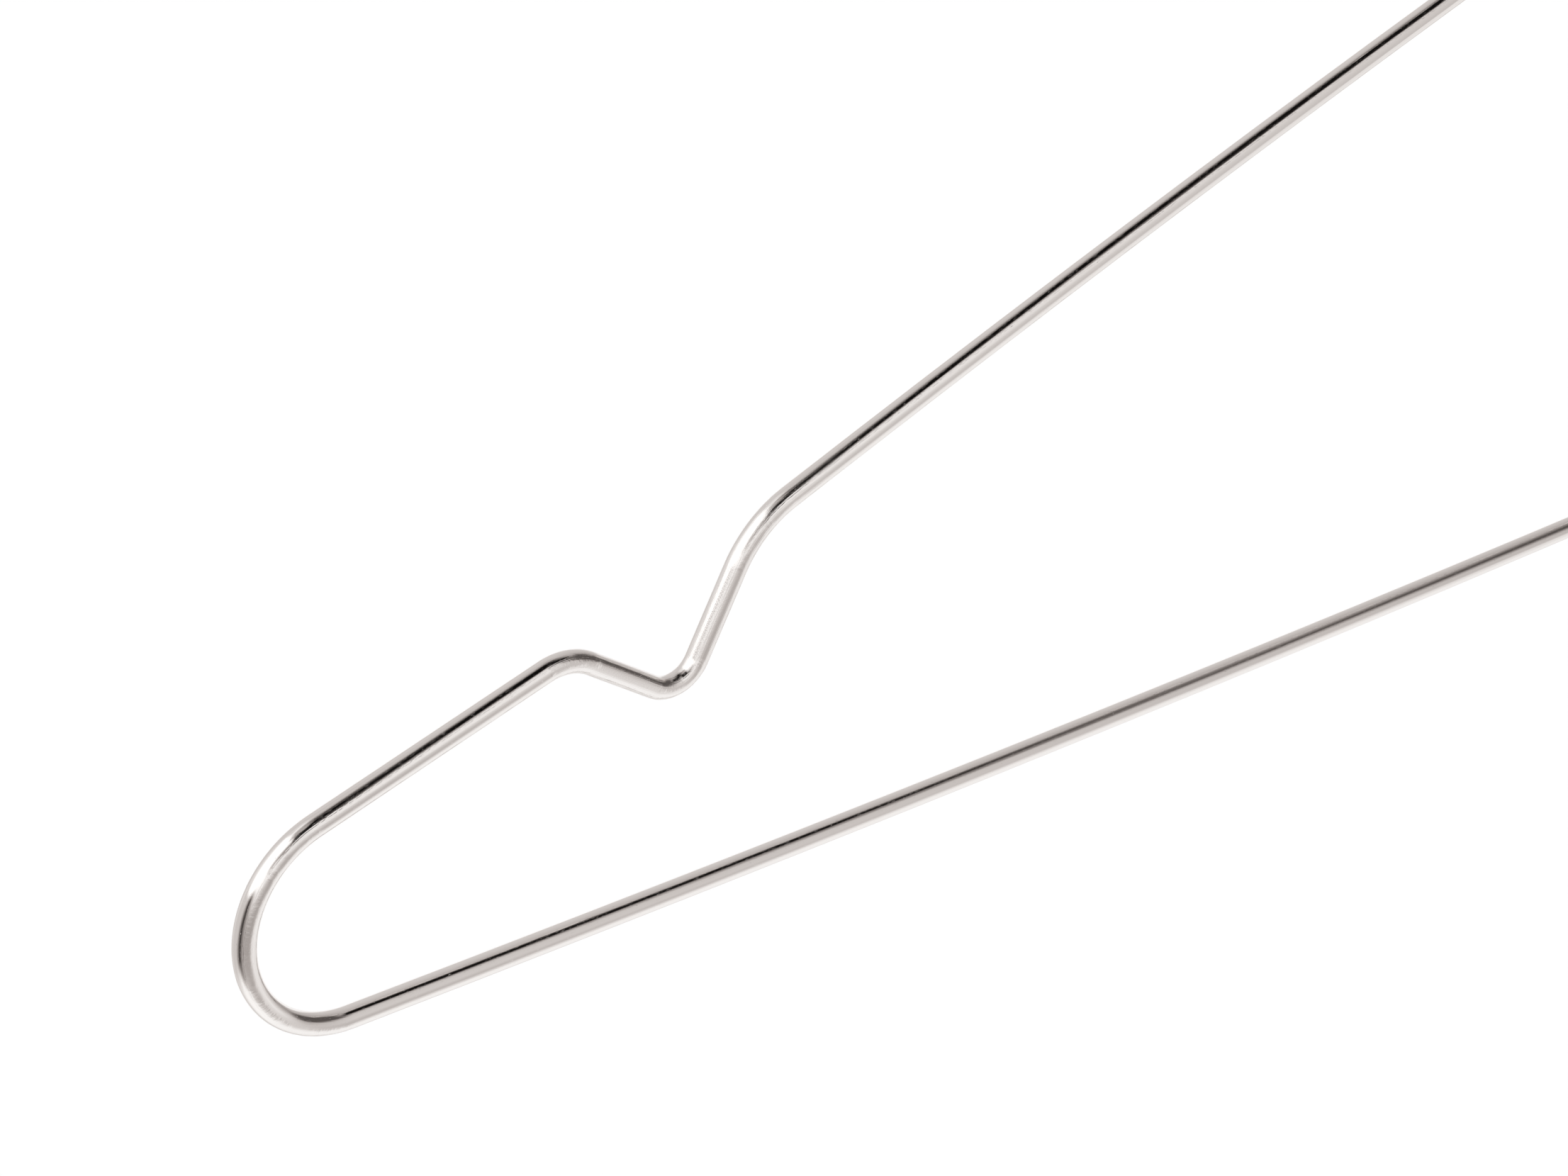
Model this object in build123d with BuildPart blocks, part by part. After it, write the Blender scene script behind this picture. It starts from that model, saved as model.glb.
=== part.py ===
from build123d import *
from math import asin, cos, degrees, radians, sin, tan
import os

# Wire hanger for trousers: one bent wire with strap notches, a turned neck sleeve, a swivel hook.
# Lengths are in millimetres and angles in degrees. The origin is the point where the hook rests
# on the rail, +X runs along the trouser bar, +Y is across the hanger and +Z is up.
# The whole hanger lies about the plane Y = 0, and its frame is also alike left and right.

# Wire stock
frame_wire_dia = 3.0
hook_wire_dia = 3.5

# Frame wire: lengths are those of the wire's centreline, except the width over all
hanger_width = 440.0
bar_bow_radius = 6250.0
corner_radius = 14.0
end_run = 34.0
end_run_climb = 15.0
crest_radius = 8.2
dip_fall_run = 11.0
dip_fall = 34.8
dip_radius = 4.8
dip_rise_run = 12.0
dip_rise = 59.9
shoulder_bend_radius = 16.1
shoulder_climb = 20.1
shoulder_arch_radius = 3150.0

# Hook: the route of its wire, from the crown over the rail to both ends
rail_dia_max = 32.0
hook_inner_radius = 20.0
crown_wrap = 150.0
swan_radius = 12.0
shank_length = 36.0
mouth_wrap = 84.0
tip_flare_radius = 10.0
tip_flare = 34.0
tip_run = 3.0
tip_rounding = 1.6

# Neck: a sleeve that turns between the bead on the shank and the washer under it
sleeve_dia = 10.0
sleeve_height = 14.0
sleeve_chamfer = 0.8
groove_depth = 0.35
groove_width = 0.9
groove_inset = 2.1
bore_clearance = 0.06
bore_chamfer = 0.3
socket_depth = 2.2
socket_clearance = 0.03
axial_play = 0.10
bead_overhang = 1.1
bead_height = 2.2
bead_chamfer = 0.6

# Under the sleeve: the spigot, the washer it carries and the cap it is peened over
spigot_dia = 2.4
washer_dia = 8.0
washer_thickness = 0.8
washer_clearance = 0.05
cap_dia = 6.6
cap_height = 2.6
cap_chamfer = 1.2
cap_clearance = 0.02
peen_dia = 3.3
peen_height = 0.5

# Braze metal round the frame wire's ends
braze_leg = 1.1
braze_root = 0.55
braze_toe = 0.06
braze_film = 0.02

# Angles that the bends are counted from
quarter_turn = 90.0
half_turn = 180.0

frame_wire_radius = frame_wire_dia / 2
hook_wire_radius = hook_wire_dia / 2
sleeve_radius = sleeve_dia / 2
spigot_radius = spigot_dia / 2


def bend(previous, radius, turn):
    """An arc that carries on from the run before it. A positive turn is to the left."""
    return JernArc(start=previous @ 1, tangent=previous % 1, radius=radius, arc_size=turn)


def feed(previous, length):
    """A straight run that carries on from the bend before it."""
    return PolarLine(start=previous @ 1, length=length, direction=previous % 1)


# Hook route. It is drawn upright, with its crown over the origin, and starts at the lower end of
# the shank. The straight throat is as long as it must be for the shank to hang under the crown.
crown_radius = hook_inner_radius + hook_wire_radius
swan_turn = crown_wrap - quarter_turn
swan_offset = swan_radius * (1 - cos(radians(swan_turn)))
throat_run = (crown_radius * sin(radians(crown_wrap)) - swan_offset) / sin(radians(swan_turn))

with BuildLine(Plane.XZ) as crown_side:
    crown_arc = JernArc(
        start=(0, hook_wire_radius), tangent=(1, 0), radius=crown_radius, arc_size=-crown_wrap
    )
    throat = feed(crown_arc, throat_run)
    swan_arc = bend(throat, swan_radius, swan_turn)
    shank = feed(swan_arc, shank_length)

with BuildLine(Plane.XZ) as mouth_side:
    mouth_arc = JernArc(
        start=(0, hook_wire_radius), tangent=(-1, 0), radius=crown_radius, arc_size=mouth_wrap
    )
    flare_arc = bend(mouth_arc, tip_flare_radius, -tip_flare)
    tip_line = feed(flare_arc, tip_run)

# Heights along the hook's shank, from the bead down to the peened end
shank_foot_z = (shank @ 1).Z
bead_bottom_z = shank_foot_z + sleeve_height + 2 * axial_play
sleeve_top_z = bead_bottom_z - axial_play
sleeve_bottom_z = sleeve_top_z - sleeve_height
sleeve_middle_z = (sleeve_top_z + sleeve_bottom_z) / 2
washer_bottom_z = shank_foot_z - washer_thickness
cap_bottom_z = washer_bottom_z - cap_height

with BuildPart() as hook:
    with BuildSketch(Plane(origin=shank @ 1, z_dir=shank % 1)):
        Circle(hook_wire_radius)
    sweep(path=Wire(crown_side.edges() + mouth_side.edges()))
    # The free tip is rounded so that it slides over the rail
    tip_end = hook.faces().sort_by_distance(tip_line @ 1)[0]
    fillet(tip_end.edges(), tip_rounding)
    # An upset bead stops the sleeve from sliding up the shank
    with BuildSketch(Plane.XY.offset(bead_bottom_z)):
        Circle(hook_wire_radius + bead_overhang)
    extrude(amount=bead_height)
    bead_rims = hook.edges(Select.LAST).filter_by(
        lambda edge: edge.geom_type == GeomType.CIRCLE and edge.radius > hook_wire_radius
    )
    chamfer(bead_rims, bead_chamfer)
    # The shank is turned down to a spigot, whose end is peened over the cap
    with BuildSketch(Plane.XZ):
        with BuildLine():
            peen_edge = (peen_dia / 2, cap_bottom_z)
            peen_foot = (0, cap_bottom_z - peen_height)
            spigot_end = (spigot_radius, cap_bottom_z)
            spigot_root = (spigot_radius, shank_foot_z)
            Polyline(peen_foot, (0, shank_foot_z), spigot_root, spigot_end, peen_edge)
            TangentArc(peen_foot, peen_edge, tangent=(1, 0))
        make_face()
    revolve(axis=Axis.Z)

with BuildPart() as thrust_washer:
    with BuildSketch(Plane.XY.offset(shank_foot_z)):
        Circle(washer_dia / 2)
        Circle(spigot_radius + washer_clearance, mode=Mode.SUBTRACT)
    extrude(amount=-washer_thickness)

with BuildPart() as rivet_cap:
    with BuildSketch(Plane.XY.offset(washer_bottom_z)):
        Circle(cap_dia / 2)
    extrude(amount=-cap_height)
    chamfer(rivet_cap.edges().group_by(Axis.Z)[0], cap_chamfer)
    with BuildSketch(Plane.XY.offset(washer_bottom_z)):
        Circle(spigot_radius + cap_clearance)
    extrude(amount=-cap_height, mode=Mode.SUBTRACT)

# Frame route, for the left half: from the middle of the bar out to the corner, up over the strap
# notch and along the shoulder to the floor of the socket. It is drawn with the bar's middle at
# the origin, and its height there gives the drop from the neck to the bar.
outer_reach = hanger_width / 2 - frame_wire_radius
bar_turn = degrees(asin((outer_reach - corner_radius) / (bar_bow_radius - corner_radius)))
corner_turn = half_turn - bar_turn - end_run_climb
socket_floor_x = -(sleeve_radius - socket_depth)

with BuildLine(Plane.XZ) as half_frame:
    bar_arc = JernArc(start=(0, 0), tangent=(-1, 0), radius=bar_bow_radius, arc_size=-bar_turn)
    corner_arc = bend(bar_arc, corner_radius, -corner_turn)
    end_line = feed(corner_arc, end_run)
    crest_arc = bend(end_line, crest_radius, -(end_run_climb + dip_fall))
    fall_line = feed(crest_arc, dip_fall_run)
    dip_arc = bend(fall_line, dip_radius, dip_fall + dip_rise)
    rise_line = feed(dip_arc, dip_rise_run)
    shoulder_bend = bend(rise_line, shoulder_bend_radius, -(dip_rise - shoulder_climb))
    shoulder_reach = socket_floor_x - (shoulder_bend @ 1).X
    neck_climb = degrees(asin(sin(radians(shoulder_climb)) - shoulder_reach / shoulder_arch_radius))
    shoulder_arc = bend(shoulder_bend, shoulder_arch_radius, -(shoulder_climb - neck_climb))

# The two sockets point at one place on the hook's axis, halfway up the sleeve
neck_rise = (shoulder_arc @ 1).Z - socket_floor_x * tan(radians(neck_climb))
bar_z = sleeve_middle_z - neck_rise
socket_floor_z = bar_z + (shoulder_arc @ 1).Z

with BuildPart() as frame_wire:
    with BuildLine() as frame_route:
        add(half_frame.line.moved(Location((0, 0, bar_z))))
        mirror(about=Plane.YZ)
    route = Wire(frame_route.edges())
    with BuildSketch(Plane(origin=route @ 0, z_dir=route % 0)):
        Circle(frame_wire_radius)
    sweep(path=route)


def socket_plane(side):
    """The plane on the floor of one socket, with its normal along the wire, out of the sleeve."""
    outward = (side * cos(radians(neck_climb)), 0, -sin(radians(neck_climb)))
    return Plane(origin=(-side * socket_floor_x, 0, socket_floor_z), z_dir=outward)


with BuildPart() as neck_sleeve:
    with BuildSketch(Plane.XY.offset(sleeve_bottom_z)):
        Circle(sleeve_radius)
    extrude(amount=sleeve_height)
    chamfer(neck_sleeve.edges().filter_by(GeomType.CIRCLE), sleeve_chamfer)
    # Two turned grooves, one near each end. What is cut away reaches as far out as in.
    for groove_z in (sleeve_bottom_z + groove_inset, sleeve_top_z - groove_inset):
        with BuildSketch(Plane.XZ):
            with BuildLine():
                Polyline(
                    (sleeve_radius - groove_depth, groove_z),
                    (sleeve_radius, groove_z + groove_width / 2),
                    (sleeve_radius + groove_depth, groove_z),
                    (sleeve_radius, groove_z - groove_width / 2),
                    close=True,
                )
            make_face()
        revolve(axis=Axis.Z, mode=Mode.SUBTRACT)
    # The bore that the hook's shank turns in, eased at both mouths
    with BuildSketch(Plane.XY.offset(sleeve_bottom_z)):
        Circle(hook_wire_radius + bore_clearance)
    extrude(amount=sleeve_height, mode=Mode.SUBTRACT)
    chamfer(neck_sleeve.edges(Select.LAST).filter_by(GeomType.CIRCLE), bore_chamfer)
    # A blind socket on each side for the end of the frame wire
    for side in (-1, 1):
        with BuildSketch(socket_plane(side).offset(-socket_clearance)):
            Circle(frame_wire_radius + socket_clearance)
        extrude(amount=sleeve_dia, mode=Mode.SUBTRACT)

with BuildPart() as braze_fillets:
    ring_inner = frame_wire_radius + braze_film
    for side in (-1, 1):
        floor = socket_plane(side)
        wire_axis = Axis(floor.origin, floor.z_dir)
        with BuildSketch(Plane(origin=floor.origin, x_dir=floor.z_dir, z_dir=(0, -1, 0))):
            with BuildLine():
                toe = (socket_depth + braze_leg, ring_inner)
                toe_top = (socket_depth + braze_leg, ring_inner + braze_toe)
                heel_top = (socket_depth - braze_root, ring_inner + braze_leg)
                heel = (socket_depth - braze_root, ring_inner)
                Polyline(heel, toe, toe_top, heel_top, close=True)
            make_face()
        revolve(axis=wire_axis)
    # The rings follow the round side of the sleeve
    with BuildSketch(Plane.XY.offset(sleeve_bottom_z)):
        Circle(sleeve_radius + braze_film)
    extrude(amount=sleeve_height, mode=Mode.SUBTRACT)

# Write one file for each piece
os.makedirs("parts", exist_ok=True)
pieces = {
    "frame_wire": frame_wire,
    "neck_sleeve": neck_sleeve,
    "braze_fillets": braze_fillets,
    "hook": hook,
    "thrust_washer": thrust_washer,
    "rivet_cap": rivet_cap,
}
for name, piece in pieces.items():
    piece.part.label = name
    export_step(piece.part, f"parts/{name}.step")

mouth_gap = ((tip_line @ 1) - (throat @ 1)).length - hook_wire_dia
print(f"bar middle at z = {bar_z:.3f}, neck rise {neck_rise:.3f}, neck climb {neck_climb:.3f}")
print(f"sleeve from z = {sleeve_bottom_z:.3f} to {sleeve_top_z:.3f}, shank foot {shank_foot_z:.3f}")
print(f"hook mouth {mouth_gap:.2f} wide for a rail of up to {rail_dia_max:.1f}")
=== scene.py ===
# %% [markdown]
# A polished wire hanger for trousers. One round wire is bent into the bar, the two rounded
# corners, the two strap notches and the shoulders, and its ends sit in a turned sleeve. A second
# wire is the rail hook, and the sleeve turns on its shank.
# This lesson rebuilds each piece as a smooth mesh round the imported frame, gives it a plated
# metal finish made of nodes, and puts it into a white studio with a few soft cards, because
# a polished wire shows little else than what stands around it.

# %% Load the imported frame
from math import asin, cos, degrees, pi, radians, sin, sqrt

import bmesh
import bpy
from mathutils import Matrix, Vector


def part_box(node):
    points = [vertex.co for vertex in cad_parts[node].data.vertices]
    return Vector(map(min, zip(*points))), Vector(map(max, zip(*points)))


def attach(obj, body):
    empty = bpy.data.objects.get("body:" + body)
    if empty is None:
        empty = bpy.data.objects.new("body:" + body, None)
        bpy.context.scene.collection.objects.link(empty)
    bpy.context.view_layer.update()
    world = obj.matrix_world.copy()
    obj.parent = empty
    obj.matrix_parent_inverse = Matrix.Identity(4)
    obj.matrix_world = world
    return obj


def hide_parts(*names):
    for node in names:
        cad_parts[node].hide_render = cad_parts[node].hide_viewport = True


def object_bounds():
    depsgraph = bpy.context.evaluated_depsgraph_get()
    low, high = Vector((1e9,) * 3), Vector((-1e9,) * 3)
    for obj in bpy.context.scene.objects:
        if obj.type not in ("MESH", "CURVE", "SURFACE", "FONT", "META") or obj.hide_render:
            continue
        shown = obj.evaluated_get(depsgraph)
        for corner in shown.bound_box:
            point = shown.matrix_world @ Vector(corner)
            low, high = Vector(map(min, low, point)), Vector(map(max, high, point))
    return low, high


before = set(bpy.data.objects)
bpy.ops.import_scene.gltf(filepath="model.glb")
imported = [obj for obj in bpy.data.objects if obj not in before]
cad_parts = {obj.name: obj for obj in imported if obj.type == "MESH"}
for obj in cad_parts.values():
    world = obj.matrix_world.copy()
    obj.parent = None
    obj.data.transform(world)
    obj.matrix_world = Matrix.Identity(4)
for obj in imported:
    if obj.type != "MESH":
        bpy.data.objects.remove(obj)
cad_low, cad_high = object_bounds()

print("Frame loaded with", ", ".join(sorted(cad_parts)))

# %% [markdown]
# Every length below is in metres and every angle in degrees. They are the sizes of the real
# hanger, so each mesh comes out where the frame has its piece.

# %% Sizes of the bent wires
frame_wire_radius = 0.0015
hook_wire_radius = 0.00175

hanger_width = 0.440
bar_bow_radius = 6.250
corner_radius = 0.014
end_run = 0.034
end_run_climb = 15.0
crest_radius = 0.0082
dip_fall_run = 0.011
dip_fall = 34.8
dip_radius = 0.0048
dip_rise_run = 0.012
dip_rise = 59.9
shoulder_bend_radius = 0.0161
shoulder_climb = 20.1
shoulder_arch_radius = 3.150

hook_inner_radius = 0.020
crown_wrap = 150.0
swan_radius = 0.012
shank_length = 0.036
mouth_wrap = 84.0
tip_flare_radius = 0.010
tip_flare = 34.0
tip_run = 0.003
tip_rounding = 0.0016

# %% Sizes of the turned pieces at the neck
sleeve_radius = 0.005
sleeve_height = 0.014
sleeve_chamfer = 0.0008
groove_depth = 0.00035
groove_width = 0.0009
groove_inset = 0.0021
bore_clearance = 0.00006
bore_chamfer = 0.0003
socket_depth = 0.0022
socket_clearance = 0.00003
axial_play = 0.00010
bead_overhang = 0.0011
bead_height = 0.0022
bead_chamfer = 0.0006
spigot_radius = 0.0012
washer_radius = 0.004
washer_thickness = 0.0008
washer_clearance = 0.00005
cap_radius = 0.0033
cap_height = 0.0026
cap_chamfer = 0.0012
cap_clearance = 0.00002
peen_radius = 0.00165
peen_height = 0.0005
braze_leg = 0.0011
braze_film = 0.00002

# %% [markdown]
# The camera stands where the photographer's did: in front of the left corner, a little above
# it, with a long lens. The picture is 2212 pixels wide and the sensor 36 mm, so the lens is
# the focal length in pixels times 36 over 2212. Depth of field stays off.

# %% Camera
view_azimuth = -38.830
view_elevation = 27.742
view_target = Vector((-0.13890, 0.0, -0.14014))
view_distance = 0.50792
sensor_width = 36.0
picture_width_px = 2212
focal_length_px = 5814.2


def direction(azimuth, elevation):
    """Unit vector towards a place round the object. Azimuth 0 is the front, -Y, and 90 is +X."""
    around = radians(azimuth)
    up = radians(elevation)
    return Vector((sin(around) * cos(up), -cos(around) * cos(up), sin(up)))


def new_object(name, data):
    """An object in the scene that shows the data."""
    made = bpy.data.objects.new(name, data)
    bpy.context.scene.collection.objects.link(made)
    return made


camera_data = bpy.data.cameras.new("photo_camera")
camera_data.sensor_width = sensor_width
camera_data.lens = focal_length_px / picture_width_px * sensor_width
camera_data.clip_start = 0.01
camera = new_object("photo_camera", camera_data)
view_back = direction(view_azimuth, view_elevation)
camera.location = view_target + view_back * view_distance
camera.rotation_euler = (-view_back).to_track_quat("-Z", "Y").to_euler()
bpy.context.scene.camera = camera
print(f"Camera with a {camera_data.lens:.1f} mm lens, {view_distance:.3f} m from the corner")

# %% [markdown]
# Shader nodes are set up by code all through this lesson, so a few small helpers come first.
# The first makes a node and fills its sockets, either with a value or with a link from another
# node. The next three do it for the kinds of node that are used most: Math, Map Range and Noise
# Texture. The last two start a node group with its named sockets, and place a group in a tree,
# which is how one effect is built once and used in several finishes.

# %% Helpers for nodes


def add_node(tree, kind, inputs=None, **settings):
    """A node of that kind, with its settings, and with a value or a link for each named input."""
    node = tree.nodes.new(kind)
    for name, value in settings.items():
        setattr(node, name, value)
    for name, value in (inputs or {}).items():
        if isinstance(value, bpy.types.NodeSocket):
            tree.links.new(value, node.inputs[name])
        else:
            node.inputs[name].default_value = value
    return node


def maths(tree, operation, first, second=0.0, third=0.0, clamp=False):
    """The result of a Math node."""
    node = add_node(tree, "ShaderNodeMath", {0: first, 1: second, 2: third},
                    operation=operation, use_clamp=clamp)
    return node.outputs[0]


def map_range(tree, value, limits, span=(0.0, 1.0), easing="LINEAR"):
    """The result of a Map Range node, which carries a value from its limits over to a span."""
    inputs = {"Value": value, "From Min": limits[0], "From Max": limits[1],
              "To Min": span[0], "To Max": span[1]}
    node = add_node(tree, "ShaderNodeMapRange", inputs, interpolation_type=easing)
    return node.outputs["Result"]


def noise(tree, place, scale, detail, roughness=0.5, distortion=0.0):
    """The value of a Noise Texture node, from 0 to 1."""
    inputs = {"Vector": place, "Scale": scale, "Detail": detail, "Roughness": roughness,
              "Distortion": distortion}
    return add_node(tree, "ShaderNodeTexNoise", inputs).outputs["Fac"]


def new_group(name, vectors, floats, outputs):
    """An empty node group, and inside it the sockets of what it is given and of its results.
    It is given vectors, by their names, and floats, with what they start as."""
    group = bpy.data.node_groups.new(name, "ShaderNodeTree")
    for socket in vectors:
        group.interface.new_socket(socket, in_out="INPUT", socket_type="NodeSocketVector")
    for socket, value in floats.items():
        made = group.interface.new_socket(socket, in_out="INPUT", socket_type="NodeSocketFloat")
        made.default_value = value
    for socket in outputs:
        group.interface.new_socket(socket, in_out="OUTPUT", socket_type="NodeSocketFloat")
    given = group.nodes.new("NodeGroupInput")
    result = group.nodes.new("NodeGroupOutput")
    return group, given.outputs, result.inputs


def use_group(tree, group, inputs):
    """A node that places a group in a tree, with its inputs filled."""
    return add_node(tree, "ShaderNodeGroup", inputs, node_tree=group)


# %% [markdown]
# A polished wire is a mirror, so the studio matters as much as the metal. The photographer's
# studio is a white tent: pale walls, a white sweep below, a large soft lamp on the left, and
# a few dark gaps that give the metal its thin dark lines. Real cards would show in other
# views, so here each card is a soft-edged patch of the world. A patch is found from the
# direction of the ray: the ray is carried to a flat card that faces the object, and the card's
# mask falls off smoothly across its edges.

# %% Node group for one studio card
least_facing = 0.001
card_sizes = ("Half Width", "Half Height", "Side Softness", "End Softness")


def make_studio_card():
    """A group that puts out how far a direction lies on a flat card, from 0 to 1."""
    group, source, result = new_group(
        "studio_card", ("Direction", "Facing", "Across", "Upright"),
        dict.fromkeys(card_sizes, 1.0), ("Mask",))

    def along(axis):
        dot = add_node(group, "ShaderNodeVectorMath", {0: source["Direction"], 1: source[axis]},
                       operation="DOT_PRODUCT")
        return dot.outputs["Value"]

    facing = along("Facing")
    depth = maths(group, "MAXIMUM", facing, least_facing)
    in_front = maths(group, "GREATER_THAN", facing, least_facing)

    def inside(axis, half_size, softness):
        place = maths(group, "DIVIDE", maths(group, "ABSOLUTE", along(axis)), depth)
        margin = maths(group, "SUBTRACT", source[half_size], place)
        edge = maths(group, "ADD", maths(group, "DIVIDE", margin, source[softness]), 0.5)
        return map_range(group, edge, (0.0, 1.0), easing="SMOOTHSTEP")

    both = maths(group, "MULTIPLY", inside("Across", "Half Width", "Side Softness"),
                 inside("Upright", "Half Height", "End Softness"))
    group.links.new(maths(group, "MULTIPLY", both, in_front), result["Mask"])
    return group


studio_card = make_studio_card()
print("Node group studio_card has", len(studio_card.nodes), "nodes")

# %% [markdown]
# The world starts white for every ray that is seen, straight or in the metal or through glass,
# and a plain soft grey for the rays that only light things. Over it come the tent's walls,
# which are brighter on the lamp's side and leave the white sweep below open, and then the
# cards, each laid over the last one. Some are lamps and reflectors, some are panels and walls
# of the tent that stand nearer or lie in shade, and the darkest are the gaps.
# What is dim in such a tent is also a little creamy, because its light has met more cloth on
# its way. So the darker a shade is, the more cream is mixed into it. The rays that only light
# things keep their shades white, and the camera sees none of this: Light Path tells its rays
# apart, and for them the world stays plain white.

# %% World
# Each card: azimuth and elevation of its middle, its roll, half its width and height and the
# softness of its sides and ends as shares of its distance, and its brightness
sweep_opening = (-14, -72, -12, 1.30, 0.67, 0.51, 0.85)
wall_shade = 0.74
wall_falloff_right = 0.38
wall_falloff_back = 0.14
lighting_grey = 0.80
cream = (1.0, 0.89, 0.845)
white = (1.0, 1.0, 1.0)
studio_cards = {
    "front panel": (12, 28, 0, 0.15, 0.29, 0.29, 0.25, 0.92),
    "front wall": (-28, -25, -9, 1.25, 0.54, 1.64, 1.10, 0.41),
    "right reflector": (68, -30, -36, 0.47, 0.30, 0.34, 0.91, 0.93),
    "left wall": (-99, -16, -1, 1.10, 0.75, 0.78, 0.50, 0.66),
    "right gap": (70, 23, 7, 0.37, 0.38, 0.34, 0.25, 0.10),
    "ceiling gap": (-103, 87, 67, 0.82, 0.35, 1.77, 0.46, 0.006),
    "left gap": (-36, 51.5, 30, 0.31, 0.39, 0.14, 0.70, 0.09),
    "soft lamp": (-93, 50, -58, 1.02, 0.22, 0.68, 0.87, 1.15),
    "large soft lamp": (-91, 45, 2, 0.77, 0.50, 0.78, 0.18, 1.25),
    "lamp stand": (-74.5, -15, 3, 0.29, 0.70, 0.68, 0.34, 0.03),
    "lamp gap": (-6, 53, 12, 0.19, 0.18, 0.08, 0.20, 0.02),
    "far gap": (14.5, 73, 31, 0.31, 0.20, 0.10, 0.22, 0.004),
    "narrow gap": (52.5, 57.5, -41, 0.24, 0.22, 0.14, 0.26, 0.006),
    "ceiling panel": (-46, 76, 20, 0.16, 0.16, 0.15, 0.15, 0.45),
    "low reflector": (-89, -64, 3, 0.27, 0.43, 0.70, 0.49, 1.06),
    "back wall": (146, 10, -37, 0.83, 0.85, 1.90, 0.48, 0.69),
    "backdrop": (141, -28, 0, 0.62, 0.62, 0.30, 0.30, 1.00),
}


def card_axes(azimuth, elevation, roll):
    """The direction that a card lies in, and the directions across and up its face."""
    facing = direction(azimuth, elevation)
    across = direction(azimuth + 90.0, 0.0)
    upright = facing.cross(across)
    if upright.z < 0.0:
        upright.negate()
    turned = across * cos(radians(roll)) + upright * sin(radians(roll))
    raised = upright * cos(radians(roll)) - across * sin(radians(roll))
    return facing, turned, raised


def card_mask(tree, way, azimuth, elevation, roll, *sizes):
    """The mask of one card in a node tree."""
    facing, across, upright = card_axes(azimuth, elevation, roll)
    inputs = {"Direction": way, "Facing": facing, "Across": across, "Upright": upright}
    inputs.update(zip(card_sizes, sizes))
    return use_group(tree, studio_card, inputs).outputs["Mask"]


def lay_over(tree, factor, under, over):
    """A Mix node that lays one shade over another."""
    mix = add_node(tree, "ShaderNodeMix", {"Factor": factor, "A": under, "B": over})
    return mix.outputs["Result"]


def mix_vectors(tree, factor, first, second):
    """The result of a Mix node for vectors, whose inputs are its fifth and sixth."""
    mix = add_node(tree, "ShaderNodeMix", {"Factor": factor, 4: first, 5: second},
                   data_type="VECTOR")
    return mix.outputs[1]


def seen_rays(tree):
    """The Light Path node's rays that see things: straight, in gloss and through glass."""
    ray = tree.nodes.new("ShaderNodeLightPath").outputs
    seen = maths(tree, "ADD", ray["Is Camera Ray"], ray["Is Glossy Ray"])
    return ray, maths(tree, "ADD", seen, ray["Is Transmission Ray"], clamp=True)


def make_world():
    """The white studio with its walls and cards."""
    world = bpy.data.worlds.new("white_studio")
    world.use_nodes = True
    tree = world.node_tree
    tree.nodes.clear()
    way = tree.nodes.new("ShaderNodeTexCoord").outputs["Generated"]
    ray, seen = seen_rays(tree)
    plain = lay_over(tree, seen, lighting_grey, 1.0)
    part = add_node(tree, "ShaderNodeSeparateXYZ", {0: way}).outputs
    walls = maths(tree, "MULTIPLY_ADD", part["X"], -wall_falloff_right, wall_shade)
    walls = maths(tree, "MULTIPLY_ADD", part["Y"], -wall_falloff_back, walls)
    shade = lay_over(tree, card_mask(tree, way, *sweep_opening), walls, plain)
    for *place, brightness in studio_cards.values():
        shade = lay_over(tree, card_mask(tree, way, *place), shade, brightness)
    whiteness = maths(tree, "MAXIMUM", shade, maths(tree, "SUBTRACT", 1.0, seen))
    tint = mix_vectors(tree, whiteness, cream, white)
    tinted = add_node(tree, "ShaderNodeVectorMath", {0: tint, "Scale": shade}, operation="SCALE")
    colour = mix_vectors(tree, ray["Is Camera Ray"], tinted.outputs["Vector"], white)
    light = add_node(tree, "ShaderNodeBackground", {"Color": colour})
    out = tree.nodes.new("ShaderNodeOutputWorld")
    tree.links.new(light.outputs[0], out.inputs["Surface"])
    return world


bpy.context.scene.world = make_world()
bpy.context.scene.view_settings.view_transform = "Standard"
print("The world has", len(studio_cards), "cards")

# %% [markdown]
# The floor is a plain pale sheet far below the hanger, which hangs from its hook. The sheet
# scatters light like paper, and for rays that are seen it glows a little as well, so that it
# looks as white as the tent and still takes a shadow.

# %% Floor
floor_drop = 1.0
floor_width = 14.0
floor_glow = 0.50
paper_roughness = 0.9
paper_shades = (0.78, 0.82)
fibre_scale = 3.0


def mesh_data(name, mesh):
    """The mesh data of a bmesh, which is freed."""
    data = bpy.data.meshes.new(name)
    mesh.to_mesh(data)
    mesh.free()
    return data


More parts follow.
